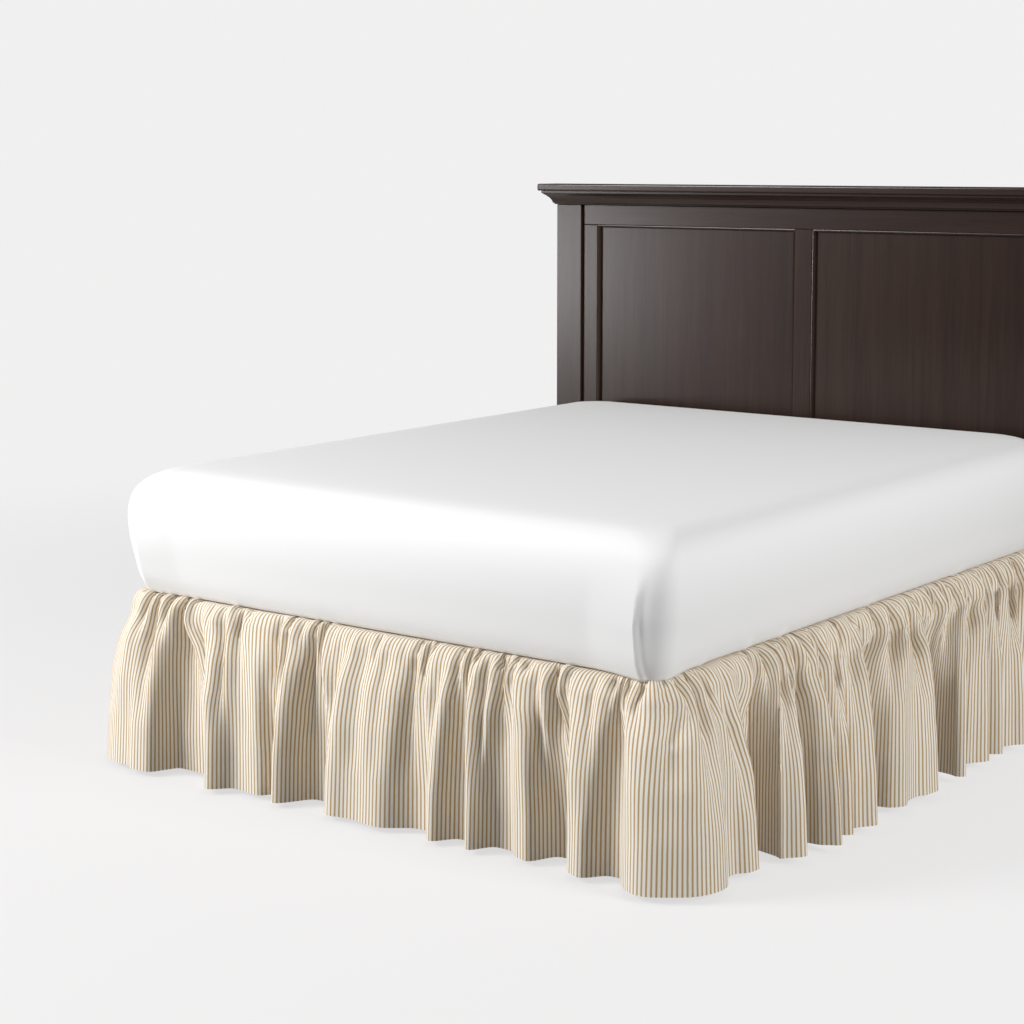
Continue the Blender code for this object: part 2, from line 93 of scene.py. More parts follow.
FOOT_FOLDS = (
    (-0.790, 0.094, -0.752, 0.102, -0.722, -0.702, 0.108, -0.700),
    (-0.670, 0.124, -0.622, 0.122, -0.580, -0.450, 0.042, -0.577),
    (-0.426, 0.120, -0.408, 0.136, -0.356, -0.325, 0.088, -0.395),
    (-0.300, 0.092, -0.280, 0.094, -0.245, -0.235, 0.052, -0.270),
    (-0.227, 0.104, -0.212, 0.118, -0.146, -0.085, 0.031, -0.136),
    (-0.070, 0.096, -0.050, 0.110, 0.000, 0.030, 0.098, 0.010),
    (0.060, 0.104, 0.082, 0.107, 0.185, 0.215, 0.055, 0.172),
    (0.230, 0.098, 0.244, 0.111, 0.292, 0.318, 0.056, 0.290),
    (0.333, 0.094, 0.346, 0.108, 0.386, 0.422, 0.050, 0.385),
    (0.466, 0.080, 0.489, 0.088, 0.532, 0.578, 0.018, 0.520),
    (0.600, 0.092, 0.636, 0.105, 0.688, 0.712, 0.055, 0.680),
)
RIGHT_SIDE_FOLDS = (
    (0.004, 0.150, 0.020, 0.163, 0.062, 0.100, 0.122, 0.135),
    (0.132, 0.146, 0.160, 0.150, 0.192, 0.296, 0.040, 0.325),
    (0.232, 0.152, 0.285, 0.192, 0.325, 0.376, 0.085, 0.485),
    (0.362, 0.178, 0.384, 0.223, 0.405, 0.445, 0.140, 0.605),
    (0.452, 0.188, 0.465, 0.206, 0.484, 0.508, 0.165, 0.700),
    (0.512, 0.186, 0.556, 0.216, 0.600, 0.690, 0.070, 0.882),
    (0.690, 0.178, 0.715, 0.200, 0.775, 0.800, 0.184, 1.020),
    (0.830, 0.203, 0.872, 0.208, 0.925, 1.066, 0.050, 1.195),
    (0.996, 0.186, 1.010, 0.213, 1.045, 1.108, 0.105, 1.375),
    (1.125, 0.166, 1.176, 0.197, 1.200, 1.228, 0.140, 1.490),
    (1.235, 0.178, 1.248, 0.200, 1.270, 1.300, 0.155, 1.570),
    (1.338, 0.180, 1.360, 0.206, 1.410, 1.460, 0.110, 1.675),
    (1.560, 0.140, 1.600, 0.150, 1.690, 1.720, 0.085, 1.805),
)
# Places along the hem that each row gives: where its face begins, its crest and its valley's ends
STOPS_PER_FOLD = 4
# How long a fold stays at its crest or valley before it turns in or out, as a share of the way
FOLD_REST = 0.08

# The way down the top of the ruffle. Columns: distance outside the box spring, height over its
# top, share of the main folds' relief there, share of the head's droop.
HEAD_PATH = (
    (-0.0300, 0.0012, 0.00, 0.0),
    (-0.0150, 0.0018, 0.00, 0.0),
    (-0.0020, 0.0045, 0.20, 0.4),
    (0.0090, 0.0040, 0.45, 0.8),
    (0.0210, -0.0060, 0.65, 1.0),
    (0.0300, -0.0230, 0.88, 0.8),
    (0.0360, -0.0480, 1.00, 0.4),
)
# How far the head hangs down near the foot's right corner. Columns: run past that corner, droop
HEAD_DROOP = (
    (-0.90, 0.000),
    (-0.25, 0.007),
    (0.00, 0.020),
    (0.12, 0.009),
    (0.30, 0.003),
    (1.80, 0.003),
)
# The main folds' relief at the head, as a share of their relief at the hem, and its limits
HEAD_RELIEF = 0.16
DEEPEST_RELIEF = 0.004
HIGHEST_RELIEF = 0.014
RELIEF_WIDTH = 0.50
# At the head each valley narrows to a slot between full puffs. Its depth is a share of the fold's
# depth at the hem, within limits, and its sides take a little more cloth than they need.
SLOT_SHARE = 0.50
SHALLOWEST_SLOT = 0.008
DEEPEST_SLOT = 0.036
SLOT_HALF_WIDTH = 0.0070
SLOT_SLACK = 1.03
# How the folds open from there to the hem. Columns: share of the way down, share of the folds
DROP_SPREAD = ((0.0, 0.0), (0.16, 0.44), (0.40, 0.74), (0.70, 0.91), (1.0, 1.0))
DROP_SAMPLES = 24
# The gathers, which run together into wider ones on the way down. Columns: least and greatest
# pitch, distances down where they begin, are deepest and have gone, depth as a share of pitch.
GATHERS = (
    (0.012, 0.022, 0.000, 0.020, 0.070, 0.18),
    (0.024, 0.048, 0.000, 0.045, 0.190, 0.30),
    (0.055, 0.095, 0.040, 0.150, 0.360, 0.22),
)
GATHER_SEED = 7
# A puff's outline, full at the top and sharp in the valleys, and its least and greatest height
PUFF_FULLNESS = 0.8
PUFF_LEVEL = 1.3
PUFF_HEIGHTS = (0.4, 1.25)
# Gathers too fine for the grid take up some of the cloth at the head. Columns: distance down, share
# of the cloth left for the rest, which is a little over the whole lower down, for settling to ease.
# The other gathers are scaled, over a short stretch of columns at a time, until they take up what
# the main folds leave of it.
CLOTH_LEFT = ((0.0, 0.62), (0.020, 0.72), (0.034, 0.84), (0.055, 0.98), (0.090, 1.04))
SCALE_ROUNDS = 12
SCALE_GAIN = 1.5
SCALE_WINDOW = 31
LEAST_SCALE = 0.02
GREATEST_SCALE = 2.1
# Columns over which the spacing is evened out
EVEN_WINDOW = 25
# The gathers are held flat under the mattress. Columns: distance down, share of their depth
SEAM_HOLD = ((0.0, 0.10), (0.014, 0.30), (0.028, 0.60), (0.045, 1.0))
# Slits between gathers that run on downwards. Columns: place from the foot's middle, or from the
# foot end on the right side, depth, distance down where they have gone.
FOOT_SLITS = ((-0.373, 0.016, 0.110), (0.441, 0.018, 0.080))
RIGHT_SLITS = (
    (0.245, 0.018, 0.070),
    (0.395, 0.016, 0.060),
    (0.793, 0.022, 0.090),
    (1.285, 0.018, 0.090),
)
SLIT_WIDTH = 0.007

# The grid of the cloth: columns along the ruffle and rows down it
COLUMNS = 1880
TOP_ROWS = 14
TOP_ROW_STEP = 0.0065
LOW_ROWS = 22
CLOTH_THICKNESS = 0.0009

# The mattress's side just over the ruffle. Columns: distance outside the box spring, height
MATTRESS_SIDE = (
    (-0.032, 0.000),
    (-0.016, 0.001),
    (-0.001, 0.009),
    (0.014, 0.040),
    (0.025, 0.090),
    (0.034, 0.145),
)
MATTRESS_CLEARANCE = 0.0006
SPRING_EDGE = 0.014

# How the cloth is settled: how far it falls and how much of its speed it keeps in a step, how close
# it comes to the bed and floor, how stiff it is to shear and to bend, and how sharply it may bend
SETTLING_STEPS = 150
DROP_PER_STEP = 2e-6
KEPT_SPEED = 0.90
CLEARANCE = 0.0016
FLOOR_CLEARANCE = 0.004
SHEAR_STIFFNESS = 0.30
BEND_STIFFNESS = 0.12
TIGHTEST_BEND = 0.78
# Layers are kept this far apart. Each step looks at points these many columns from each other.
LAYER_GAP = 0.004
LAYER_SHARE = 0.25
LAYER_REACH = (6, 8, 10, 12, 15, 18, 22, 26, 31, 36, 42, 48)
LAYERS_PER_STEP = 3
# How firmly the cloth is held to its form. Columns: share of the way down, hold
FORM_HOLD = ((0.0, 0.060), (0.25, 0.060), (1.0, 0.080))
HOLD_WIDTH = 3
# Bends sharper than the cloth's own are eased at the end. Columns: distance down, share eased
KINK_EASE = ((0.0, 0.05), (0.026, 0.15), (0.060, 0.35))
KINK_ROUNDS = 4
# Keeps a division by a length of nothing out of the settling
TINY = 1e-9


def outline(run, reach):
    """Points outside the box spring's outline and the way out from it, as rows of x and y."""
    left_turn = np.clip((run - SIDE_RUN) / CORNER_RADIUS, 0, math.pi / 2)
    right_start = SIDE_RUN + CORNER_ARC + FOOT_RUN
    right_turn = np.clip((run - right_start) / CORNER_RADIUS, 0, math.pi / 2)
    angle = math.pi + left_turn + right_turn
    way_out = np.stack([np.cos(angle), np.sin(angle)], axis=-1)
    along_foot = np.clip(run - SIDE_RUN - CORNER_ARC, 0, FOOT_RUN)
    past_left = np.maximum(SIDE_RUN - run, 0)
    past_right = np.maximum(run - (RUFFLE_RUN - SIDE_RUN), 0)
    centre_x = -HALF_WIDTH + CORNER_RADIUS + along_foot
    centre_y = FOOT_Y + CORNER_RADIUS + past_left + past_right
    centre = np.stack([centre_x, centre_y], axis=-1)
    return centre + way_out * (CORNER_RADIUS + reach)[..., None], way_out


def fold_stops():
    """The hem's crests and valley ends in order, as runs and reaches, and the slots at the head."""
    stops = [(0.0, RUFFLE_END_REACH)]
    slots = []
    sides = (
        (SIDE_RUN + CORNER_RADIUS, -1, LEFT_SIDE_FOLDS),
        (RUFFLE_RUN / 2, 1, FOOT_FOLDS),
        (RUFFLE_RUN - SIDE_RUN - CORNER_RADIUS, 1, RIGHT_SIDE_FOLDS),
    )
    for start, way, folds in sides:
        for face, face_reach, crest, crest_reach, bottom, bottom_end, bottom_reach, pinch in folds:
            stops.append((start + way * face, face_reach))
            stops.append((start + way * crest, crest_reach))
            stops.append((start + way * bottom, bottom_reach))
            stops.append((start + way * bottom_end, bottom_reach))
            depth = (crest_reach - bottom_reach) * SLOT_SHARE
            slots.append((start + way * pinch, min(max(depth, SHALLOWEST_SLOT), DEEPEST_SLOT)))
    stops.append((RUFFLE_RUN, RUFFLE_END_REACH))
    return np.array(stops), np.array(slots)


def hem_line():
    """The hem's run and reach finely sampled, and the length of cloth up to each sample."""
    stops = fold_stops()[0]
    share = np.arange(HEM_SAMPLES) / HEM_SAMPLES
    turn = np.clip((share - FOLD_REST) / (1 - 2 * FOLD_REST), 0, 1)
    eased = (1 - np.cos(np.pi * turn)) / 2
    steps = np.diff(stops, axis=0)
    run = (stops[:-1, :1] + steps[:, :1] * share).ravel()
    reach = (stops[:-1, 1:] + steps[:, 1:] * eased).ravel()
    run = np.append(run, stops[-1, 0])
    reach = np.append(reach, stops[-1, 1])
    points = outline(run, reach)[0]
    steps = np.linalg.norm(np.diff(points, axis=0), axis=1)
    return run, reach, np.concatenate([[0.0], np.cumsum(steps)])


def head_form(length, hem_length):
    """Where each column is gathered at the head, and how far it dips into a slot there."""
    first_bottom = (STOPS_PER_FOLD - 1) * HEM_SAMPLES + HEM_SAMPLES // 2
    bottoms = hem_length[first_bottom :: STOPS_PER_FOLD * HEM_SAMPLES]
    marks, runs, dips = [0.0], [0.0], [0.0]
    for bottom, (pinch, depth) in zip(bottoms, fold_stops()[1]):
        side = math.hypot(depth, SLOT_HALF_WIDTH) * SLOT_SLACK
        marks += [bottom - side, bottom, bottom + side]
        runs += [pinch - SLOT_HALF_WIDTH, pinch, pinch + SLOT_HALF_WIDTH]
        dips += [0.0, depth, 0.0]
    marks.append(hem_length[-1])
    runs.append(RUFFLE_RUN)
    dips.append(0.0)
    return np.interp(length, marks, runs), np.interp(length, marks, dips)


def uneven_wave(run, least, greatest, rng):
    """Rounded puffs of uneven width and height along the head, with sharp valleys between them."""
    edges = [0.0]
    while edges[-1] < RUFFLE_RUN:
        edges.append(edges[-1] + rng.uniform(least, greatest))
    edges = np.array(edges)
    phase = np.interp(run, edges, np.arange(len(edges)))
    depth = np.interp(run, edges, rng.uniform(*PUFF_HEIGHTS, len(edges)))
    pitch = np.interp(run, (edges[:-1] + edges[1:]) / 2, np.diff(edges))
    puff = 2 * np.abs(np.sin(math.pi * phase)) ** PUFF_FULLNESS - PUFF_LEVEL
    return puff * depth * pitch


def smooth_along(values, width):
    """The mean over a run of columns, for each row."""
    padded = np.pad(values, ((0, 0), (width // 2 + 1, width // 2), (0, 0)), mode="edge")
    total = np.cumsum(padded, axis=1, dtype=np.float64)
    return ((total[:, width:] - total[:, :-width]) / width).astype(values.dtype)


def even_out(grid):
    """Moves the points along their own rows until near neighbours are evenly spaced."""
    evened = np.empty_like(grid)
    for points, moved in zip(grid, evened):
        steps = np.linalg.norm(np.diff(points, axis=0), axis=1)
        along = np.concatenate([[0.0], np.cumsum(steps)])
        even = smooth_along(along[None, :, None], EVEN_WINDOW)[0, :, 0]
        for axis in range(3):
            moved[:, axis] = np.interp(even, along, points[:, axis])
    return evened


class Cloth:
    """The ruffle as a grid of points, rows down it and columns along it, and how it is settled."""

    def __init__(self):
        rng = np.random.default_rng(GATHER_SEED)
        hem_run, hem_reach, hem_length = hem_line()
        self.width = hem_length[-1]
        length = np.linspace(0, self.width, COLUMNS + 1)
        run = np.interp(length, hem_length, hem_run)
        reach = np.interp(length, hem_length, hem_reach)
        spacing = self.width / COLUMNS
        window = 2 * round(RELIEF_WIDTH / spacing / 2) + 1
        mean_reach = smooth_along(reach[None, :, None], window)[0, :, 0]
        relief = np.clip((reach - mean_reach) * HEAD_RELIEF, -DEEPEST_RELIEF, HIGHEST_RELIEF)
        head, dip = head_form(length, hem_length)
        self.folds, self.drop = self.lay_out(run, reach, head, relief - dip)
        self.form = even_out(self.folds + self.gathers(head, spacing, rng))
        steps = np.linalg.norm(np.diff(self.form, axis=1), axis=2)
        self.rest_along = np.mean(steps, axis=1, keepdims=True)
        self.points = self.form.copy()
        self.rest_down = np.diff(self.drop, axis=0)
        self.links = self.make_links()

    def lay_out(self, run, reach, head, relief):
        """The main folds, as a grid of points, and each point's distance down the cloth."""
        shoulder_out, shoulder_up, shoulder_relief, shoulder_droop = HEAD_PATH[-1]
        level = outline(head, shoulder_out + relief * shoulder_relief)[0]
        corner = RUFFLE_RUN - SIDE_RUN - CORNER_ARC / 2
        droop = np.interp(head - corner, *np.array(HEAD_DROOP).T)
        hem = outline(run, reach)[0]
        hem_height = HEM_HEIGHT + HEM_RISE * (reach / SIDE_REACH) ** 2
        path = []
        for out, up, share, droop_share in HEAD_PATH:
            spot = outline(head, out + relief * share)[0]
            path.append(np.column_stack([spot, SPRING_TOP + up - droop * droop_share]))
        share_down, share_out = np.array(DROP_SPREAD).T
        for down in np.linspace(0, 1, DROP_SAMPLES + 1)[1:]:
            spot = level + (hem - level) * np.interp(down, share_down, share_out)
            height = SPRING_TOP + shoulder_up - droop * shoulder_droop
            path.append(np.column_stack([spot, height + (hem_height - height) * down]))
        path = np.array(path)
        steps = np.linalg.norm(np.diff(path, axis=0), axis=2)
        far = np.vstack([np.zeros(len(head)), np.cumsum(steps, axis=0)])
        top_length = TOP_ROWS * TOP_ROW_STEP
        points = np.empty((TOP_ROWS + LOW_ROWS + 1, len(head), 3), np.float32)
        drop = np.empty(points.shape[:2])
        for column in range(len(head)):
            low = np.linspace(top_length, far[-1, column], LOW_ROWS + 1)
            down = np.concatenate([np.arange(TOP_ROWS) * TOP_ROW_STEP, low])
            drop[:, column] = down
            for axis in range(3):
                points[:, column, axis] = np.interp(down, far[:, column], path[:, column, axis])
        return points, drop

    def gathers(self, head, spacing, rng):
        """The gathers' puffs and slits, straight out from the cloth."""
        way_out = outline(head, np.zeros_like(head))[1]
        across = np.column_stack([way_out, np.zeros(len(head))])
        down = np.gradient(self.folds, axis=0)
        outward = np.sum(down * across, axis=2)
        falling = -down[..., 2]
        size = np.hypot(outward, falling) + TINY
        face = across * (falling / size)[..., None]
        face[..., 2] = outward / size
        puffs = np.zeros(self.drop.shape)
        for least, greatest, begin, deepest, gone, depth in GATHERS:
            at_top = float(begin == 0)
            fade = np.interp(self.drop, (0, begin, deepest, gone), (at_top, at_top, 1, 0))
            puffs += uneven_wave(head, least, greatest, rng) * depth * fade
        slits = np.zeros(self.drop.shape)
        foot_end = RUFFLE_RUN - SIDE_RUN - CORNER_RADIUS
        for start, rows in ((RUFFLE_RUN / 2, FOOT_SLITS), (foot_end, RIGHT_SLITS)):
            for place, depth, gone in rows:
                near = np.exp(-(((head - start - place) / SLIT_WIDTH) ** 2))
                slits += near * depth * np.interp(self.drop, (gone / 2, gone), (1, 0))
        hold = np.interp(self.drop, *np.array(SEAM_HOLD).T)
        row_drop = np.mean(self.drop, axis=1, keepdims=True)
        cloth = spacing * np.interp(row_drop, *np.array(CLOTH_LEFT).T)
        scale = np.ones(puffs.shape)
        for _ in range(SCALE_ROUNDS):
            height = (puffs * scale - slits) * hold
            steps = np.diff(self.folds + face * height[..., None], axis=1)
            taken = np.linalg.norm(steps, axis=2) / cloth
            taken = smooth_along(taken[..., None], SCALE_WINDOW)[..., 0]
            wanted = scale[:, 1:] * (1 + SCALE_GAIN * (1 - taken))
            scale[:, 1:] = np.clip(wanted, LEAST_SCALE, GREATEST_SCALE)
        return (face * height[..., None]).astype(np.float32)

    def make_links(self):
        """The pairs of points whose distance is kept, in sets in which no point comes twice."""
        rows, columns = self.drop.shape
        every = slice(None)
        upper, lower = slice(0, rows - 1), slice(1, rows)
        rest = self.rest_along[1:]
        slant = np.hypot(self.rest_down, rest)
        links = []
        for a, b in pair_slices(rows, 1):
            links.append(((a, every), (b, every), self.rest_down[a], 1.0, 0.0))
        for a, b in pair_slices(columns, 1):
            links.append(((lower, a), (lower, b), rest, 1.0, 0.0))
            links.append(((upper, a), (lower, b), slant[:, a], SHEAR_STIFFNESS, 0.0))
            links.append(((lower, a), (upper, b), slant[:, a], SHEAR_STIFFNESS, 0.0))
        flat = 2 * rest
        for a, b in pair_slices(columns, 2):
            links.append(((lower, a), (lower, b), flat, BEND_STIFFNESS, flat * TIGHTEST_BEND))
        straight = self.rest_down[:-1] + self.rest_down[1:]
        bent = straight * TIGHTEST_BEND
        for a, b in pair_slices(rows, 2):
            links.append(((a, every), (b, every), straight[a], BEND_STIFFNESS, bent[a]))
        return links

    def settle(self):
        """Lets the cloth take its own length again in its folds, clear of the bed and floor."""
        points = self.points
        seam = points[0].copy()
        before = points.copy()
        share_down = self.drop / self.drop[-1]
        hold = np.interp(share_down, *np.array(FORM_HOLD).T)
        hold = hold[..., None].astype(np.float32)
        for step in range(SETTLING_STEPS):
            kept = (points - before) * KEPT_SPEED
            before = points.copy()
            points += kept
            points[..., 2] -= DROP_PER_STEP
            for a, b, rest, stiffness, least in self.links:
                keep_length(points, a, b, rest, stiffness, least)
            for layer in range(LAYERS_PER_STEP):
                turn = (step * LAYERS_PER_STEP + layer) % len(LAYER_REACH)
                keep_apart(points, LAYER_REACH[turn])
            points += hold * smooth_along(self.form - points, HOLD_WIDTH)
            push_clear(points)
            points[0] = seam
        ease = np.interp(self.drop, *np.array(KINK_EASE).T)[1:, 1:-1, None].astype(np.float32)
        for _ in range(KINK_ROUNDS):
            middle = points[1:, 1:-1]
            middle += ease * ((points[1:, :-2] + points[1:, 2:]) / 2 - middle)
        push_clear(points)

    def add_mesh(self, name):
        """The cloth's faces: all its columns near the head, and every second one below."""
        rows, columns = self.drop.shape
        index = -np.ones((rows, columns), int)
        index[: TOP_ROWS + 1] = np.arange((TOP_ROWS + 1) * columns).reshape(TOP_ROWS + 1, columns)
        low_count = (columns + 1) // 2
        low = np.arange(LOW_ROWS * low_count).reshape(LOW_ROWS, low_count)
        index[TOP_ROWS + 1 :, ::2] = low + (TOP_ROWS + 1) * columns
        shown = index >= 0
        top = index[: TOP_ROWS + 1]
        faces = quads(top)
        above, below = index[TOP_ROWS], index[TOP_ROWS + 1]
        for column in range(0, columns - 2, 2):
            left, middle, right = above[column : column + 3]
            faces.append((left, below[column], middle))
            faces.append((middle, below[column], below[column + 2]))
            faces.append((middle, below[column + 2], right))
        faces += quads(index[TOP_ROWS + 1 :, ::2])
        mesh = bpy.data.meshes.new(name)
        mesh.from_pydata(self.points[shown].tolist(), [], faces)
        length = np.broadcast_to(np.linspace(0, self.width, columns), self.drop.shape)
        flat = np.column_stack([length[shown], -self.drop[shown]])
        corners = np.empty(len(mesh.loops), int)
        mesh.loops.foreach_get("vertex_index", corners)
        mesh.uv_layers.new(name="cloth").data.foreach_set("uv", flat[corners].ravel())
        return mesh


def pair_slices(count, reach):
    """Slices that pair each place with the one that far on, each set using a place only once."""
    step = 2 * reach
    return [(slice(k, count - reach, step), slice(k + reach, count, step)) for k in range(step)]


def quads(index):
    """Four-sided faces between neighbouring rows and columns of a grid of point numbers."""
    corners = (index[:-1, :-1], index[1:, :-1], index[1:, 1:], index[:-1, 1:])
    return np.stack(corners, axis=-1).reshape(-1, 4).tolist()


def keep_length(points, a, b, rest, stiffness, least):
    """Moves each pair of points towards its rest length, and firmly apart where under the least."""
    step = points[b] - points[a]
    size = np.sqrt(np.einsum("...i,...i->...", step, step)) + TINY
    wrong = (size - rest) * stiffness
    if np.any(least):
        wrong += np.minimum(size - least, 0)
    step *= (wrong / size / 2)[..., None].astype(np.float32)
    points[a] += step
    points[b] -= step


def keep_apart(points, reach):
    """Pushes folds apart where they would pass through each other along a row."""
    step = points[:, reach:] - points[:, :-reach]
    size = np.sqrt(np.einsum("...i,...i->...", step, step)) + TINY
    short = np.maximum(LAYER_GAP - size, 0) / size * LAYER_SHARE
    step *= short[..., None]
    points[:, reach:] += step
    points[:, :-reach] -= step


def push_clear(points):
    """Keeps the cloth outside the box spring's round edge, under the mattress, above the floor."""
    x, y, z = points[..., 0], points[..., 1], points[..., 2]
    past_x = np.abs(x) - (HALF_WIDTH - CORNER_RADIUS)
    past_y = (FOOT_Y + CORNER_RADIUS) - y
    side_x, side_y = np.maximum(past_x, 0), np.maximum(past_y, 0)
    round_corner = np.hypot(side_x, side_y)
    out = round_corner + np.minimum(np.maximum(past_x, past_y), 0) - CORNER_RADIUS
    along_x = np.where(round_corner > 0, side_x / (round_corner + TINY), past_x > past_y)
    along_y = np.where(round_corner > 0, side_y / (round_corner + TINY), past_x <= past_y)
    edge_out = out + SPRING_EDGE
    edge_up = z - (SPRING_TOP - SPRING_EDGE)
    over_out, over_up = np.maximum(edge_out, 0), np.maximum(edge_up, 0)
    round_edge = np.hypot(over_out, over_up)
    distance = round_edge + np.minimum(np.maximum(edge_out, edge_up), 0) - SPRING_EDGE
    push = np.maximum(CLEARANCE - distance, 0)
    push_out = push * np.where(round_edge > 0, over_out / (round_edge + TINY), 1.0)
    x += push_out * along_x * np.sign(x)
    y -= push_out * along_y
    z += push * over_up / (round_edge + TINY)
    ceiling = np.interp(out, *np.array(MATTRESS_SIDE).T) + MATTRESS_LOW[2] - MATTRESS_CLEARANCE
    np.minimum(z, ceiling, out=z)
    np.maximum(z, FLOOR_CLEARANCE, out=z)


# The mattress in its fitted sheet, from the underside to the middle of the top.
# Columns: height, distance inside the bed's outline, corner radius, rings up to the next row.
MATTRESS_ROWS = (
    (0.000, 0.032, 0.040, 2),
    (0.001, 0.016, 0.042, 3),
    (0.009, 0.001, 0.048, 4),
    (0.040, -0.014, 0.056, 5),
    (0.090, -0.025, 0.062, 5),
    (0.145, -0.034, 0.066, 5),
    (0.200, -0.036, 0.066, 4),
    (0.244, -0.028, 0.066, 4),
    (0.272, -0.011, 0.068, 4),
    (0.291, 0.014, 0.074, 4),
    (0.303, 0.054, 0.084, 4),
    (0.308, 0.140, 0.100, 3),
    (0.310, 0.300, 0.110, 3),
    (0.311, 0.500, 0.110, 1),
)
MATTRESS_HEAD_RISE = 0.006
# Steps round the mattress. The strips beside the foot corners are fine, for the sheet's tucks.
CORNER_STEPS = 20
TUCK_STRIP = 0.090
TUCK_STRIP_STEPS = 40
FOOT_STEPS = 90
SIDE_STEPS = 130
HEAD_STEPS = 60
# The tuck at each foot corner. Columns: height, place of its lip from the corner, depth
TUCK_ROWS = (
    (0.000, 0.037, 0.006),
    (0.050, 0.039, 0.010),
    (0.110, 0.037, 0.011),
    (0.170, 0.028, 0.007),
    (0.232, 0.014, 0.000),
)
TUCK_LIP_WIDTH = 0.011
TUCK_SWELL = 0.120
# How far the sheet hangs lower at the foot's right corner. Columns: height, share of the sag
CORNER_SAG = 0.014
CORNER_SAG_WIDTH = 0.110
CORNER_SAG_ROWS = ((0.001, 0.0), (0.009, 1.0), (0.100, 0.0))
# Puckers at the foot of the sheet. Columns: how far from the foot up the right side, height, size
PUCKERS = (
    (0.16, 0.030, 0.006),
    (0.34, 0.035, 0.007),
    (0.49, 0.030, 0.006),
    (0.90, 0.030, 0.007),
    (1.38, 0.030, 0.006),
)
PUCKER_WIDTH = 0.015


def smooth_rows(rows):
    """Rows of a table joined by a smooth curve, with as many steps as the last column asks."""
    values = np.array([row[:-1] for row in rows])
    ahead = np.vstack([values[1:], values[-1:]])
    behind = np.vstack([values[:1], values[:-1]])
    slopes = (ahead - behind) / 2
    curve = []
    for index, row in enumerate(rows[:-1]):
        for step in range(row[-1]):
            t = step / row[-1]
            a, b = values[index], values[index + 1]
            rise = 3 * t**2 - 2 * t**3
            lean = (t**3 - 2 * t**2 + t) * slopes[index] + (t**3 - t**2) * slopes[index + 1]
            curve.append(a + (b - a) * rise + lean)
    curve.append(values[-1])
    return np.array(curve)


def mattress_ring(inset, radius):
    """Points and ways out round the bed's outline, drawn in by inset, from the foot's middle."""
    half = HALF_WIDTH - inset
    foot = FOOT_Y + inset
    head = HEAD_Y - max(inset, 0.0)
    strip = half - TUCK_STRIP - radius
    side_low, side_high = foot + radius, head - radius
    points, ways = [], []

    def straight(start, end, steps, way):
        for step in range(steps):
            share = step / steps
            points.append([a + (b - a) * share for a, b in zip(start, end)])
            ways.append(way)

    def corner(x, y, start):
        for step in range(CORNER_STEPS):
            turn = start + math.pi / 2 * step / CORNER_STEPS
            way = (math.cos(turn), math.sin(turn))
            points.append([x + radius * way[0], y + radius * way[1]])
            ways.append(way)

    straight((0, foot), (strip, foot), FOOT_STEPS // 2, (0, -1))
    straight((strip, foot), (half - radius, foot), TUCK_STRIP_STEPS, (0, -1))
    corner(half - radius, side_low, -math.pi / 2)
    straight((half, side_low), (half, side_high), SIDE_STEPS, (1, 0))
    corner(half - radius, side_high, 0.0)
    straight((half - radius, head), (radius - half, head), HEAD_STEPS, (0, 1))
    corner(radius - half, side_high, math.pi / 2)
    straight((-half, side_high), (-half, side_low), SIDE_STEPS, (-1, 0))
    corner(radius - half, side_low, math.pi)
    straight((radius - half, foot), (-strip, foot), TUCK_STRIP_STEPS, (0, -1))
    straight((-strip, foot), (0, foot), FOOT_STEPS // 2, (0, -1))
    return np.array(points), np.array(ways)


def tuck_height(points, height):
    """How far the sheet stands out beside the foot corners, up to the lip where it is tucked in."""
    heights, lips, depths = np.array(TUCK_ROWS).T
    lip = HALF_WIDTH - np.interp(height, heights, lips)
    depth = np.interp(height, heights, depths)
    past = np.abs(points[:, 0]) - lip
    on_foot = points[:, 1] < FOOT_Y + CORNER_RADIUS
    return depth * np.interp(past, (-TUCK_SWELL, 0, TUCK_LIP_WIDTH), (0, 1, 0)) * on_foot


def corner_sag(points, height):
    """How far the sheet's lower edge hangs down at the foot's right corner."""
    away = np.hypot(points[:, 0] - HALF_WIDTH, points[:, 1] - FOOT_Y)
    share = np.interp(height, *np.array(CORNER_SAG_ROWS).T)
    return CORNER_SAG * share * np.exp(-((away / CORNER_SAG_WIDTH) ** 2))


def pucker_height(points, height):
    """How far the sheet stands out at the puckers along its foot."""
    out = np.zeros(len(points))
    for place, tall, size in PUCKERS:
        across = (points[:, 1] - FOOT_Y - place) / PUCKER_WIDTH
        up = max(0.0, 1 - height / tall)
        out += size * up * np.exp(-(across**2)) * (points[:, 0] > 0)
    return out


def make_mattress():
    """The mattress's skin in rings from the underside to the top, closed by a face at each end."""
    rows = smooth_rows(MATTRESS_ROWS)
    rings = []
    for height, inset, radius in rows:
        points, ways = mattress_ring(inset, radius)
        sag = corner_sag(points, height)
        move = pucker_height(points, height) + tuck_height(points, height)
        points = points + ways * move[:, None]
        along = (points[:, 1] - FOOT_Y) / BED_LENGTH
        rise = MATTRESS_HEAD_RISE * along * height / rows[-1][0] - sag
        rings.append(np.column_stack([points, MATTRESS_LOW[2] + height + rise]))
    grid = np.array(rings)
    count = grid.shape[1]
    index = np.arange(grid.shape[0] * count).reshape(grid.shape[0], count)
    index = np.column_stack([index, index[:, 0]])
    faces = quads(index[::-1])
    faces.append(index[0, :-1][::-1].tolist())
    faces.append(index[-1, :-1].tolist())
    mesh = bpy.data.meshes.new("mattress_in_sheet")
    mesh.from_pydata(grid.reshape(-1, 3).tolist(), [], faces)
    return mesh


# Materials


